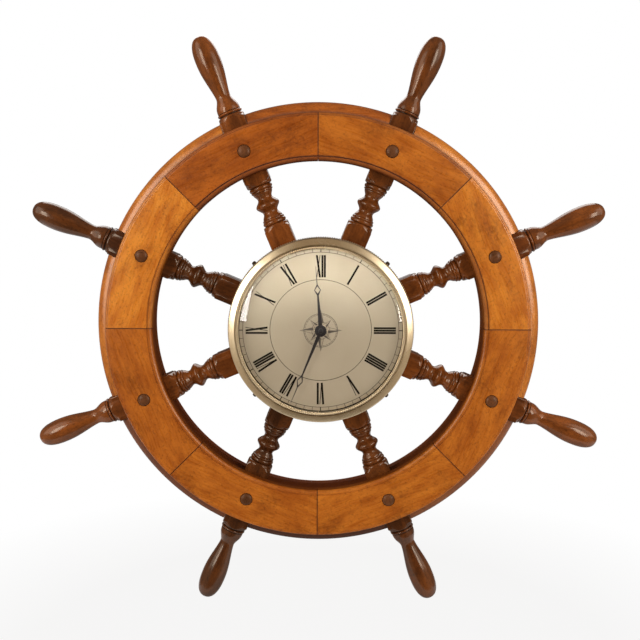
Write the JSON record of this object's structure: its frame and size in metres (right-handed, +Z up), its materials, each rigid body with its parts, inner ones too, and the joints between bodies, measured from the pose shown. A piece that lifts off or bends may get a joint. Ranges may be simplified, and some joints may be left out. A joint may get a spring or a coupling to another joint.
{
  "type": "ship wheel wall clock",
  "caption": "Wall clock shaped as a ship's wheel: layered wooden rim, turned spokes with handles, and a clock with a gold bezel, domed glass and Roman dial at its hub.",
  "frame": {"origin": "wheel's centre on the wall plane, in the middle of the hub's rear face", "axes": "+Y from the front of the clock into the wall, +Z up on the wall, +X to the right as seen from the front"},
  "size_m": [0.563, 0.0798, 0.563],
  "materials": {
    "honey_wood": "honey-coloured satin varnish",
    "dark_wood": "dark walnut stain, satin varnish",
    "peg_wood": "dark stain, satin varnish",
    "hanger_steel": "zinc plated",
    "gold_bezel": "antique gold, fine grained",
    "clear_glass": "clear",
    "gasket_rubber": "black",
    "dial_print": "matt champagne print",
    "pan_metal": "plain",
    "hand_black": "black lacquer",
    "case_plastic": "black, moulded",
    "gear_plastic": "natural",
    "arbor_steel": "turned",
    "nut_brass": "plain",
    "battery_jacket": "printed jacket"
  },
  "bodies": {
    "wheel": {"front_facing_1": "honey_wood", "front_facing_2": "honey_wood", "front_facing_3": "honey_wood", "front_facing_4": "honey_wood", "front_facing_5": "honey_wood", "front_facing_6": "honey_wood", "front_facing_7": "honey_wood", "front_facing_8": "honey_wood", "felloe_1": "honey_wood", "felloe_2": "honey_wood", "felloe_3": "honey_wood", "felloe_4": "honey_wood", "felloe_5": "honey_wood", "felloe_6": "honey_wood", "felloe_7": "honey_wood", "felloe_8": "honey_wood", "rear_facing_1": "honey_wood", "rear_facing_2": "honey_wood", "rear_facing_3": "honey_wood", "rear_facing_4": "honey_wood", "rear_facing_5": "honey_wood", "rear_facing_6": "honey_wood", "rear_facing_7": "honey_wood", "rear_facing_8": "honey_wood", "spoke_1": "dark_wood", "spoke_2": "dark_wood", "spoke_3": "dark_wood", "spoke_4": "dark_wood", "spoke_5": "dark_wood", "spoke_6": "dark_wood", "spoke_7": "dark_wood", "spoke_8": "dark_wood", "hub_core": "dark_wood", "hub_front_disc": "dark_wood", "hub_rear_disc": "dark_wood", "peg_1": "peg_wood", "peg_2": "peg_wood", "peg_3": "peg_wood", "peg_4": "peg_wood", "peg_5": "peg_wood", "peg_6": "peg_wood", "peg_7": "peg_wood", "peg_8": "peg_wood", "hanger_plate": "hanger_steel", "bezel": "gold_bezel", "glass": "clear_glass", "glass_gasket": "gasket_rubber", "dial": "dial_print", "case_pan": "pan_metal", "movement_front_case": "case_plastic", "movement_lid": "case_plastic", "shaft_nut": "nut_brass", "battery": "battery_jacket"},
    "minute": {"minute_arbor": "arbor_steel", "minute_hand": "hand_black", "hand_nut": "hand_black"},
    "hour": {"hour_wheel": "gear_plastic", "hour_hand": "hand_black"},
    "motion": {"motion_wheel": "gear_plastic"},
    "setting": {"setting_knob": "gear_plastic"}
  },
  "joints": [
    {"name": "minute_turn", "type": "hinge", "parent": "wheel", "child": "minute", "pos_m": [0.003, -0.06, 0], "axis": [0, 1, 0], "continuous": true},
    {"name": "hour_turn", "type": "hinge", "parent": "wheel", "child": "hour", "pos_m": [0.003, -0.06, 0], "axis": [0, 1, 0], "continuous": true},
    {"name": "motion_turn", "type": "hinge", "parent": "wheel", "child": "motion", "pos_m": [-0.00478, -0.05, 0.00778], "axis": [0, 1, 0], "continuous": true},
    {"name": "setting_turn", "type": "hinge", "parent": "wheel", "child": "setting", "pos_m": [-0.00478, -0.045, 0.01878], "axis": [0, 1, 0], "continuous": true}
  ],
  "couplings": [
    {"joint": "hour_turn", "follows": "minute_turn", "ratio": 0.083333},
    {"joint": "motion_turn", "follows": "minute_turn", "ratio": -0.33333},
    {"joint": "setting_turn", "follows": "minute_turn", "ratio": 1}
  ]
}
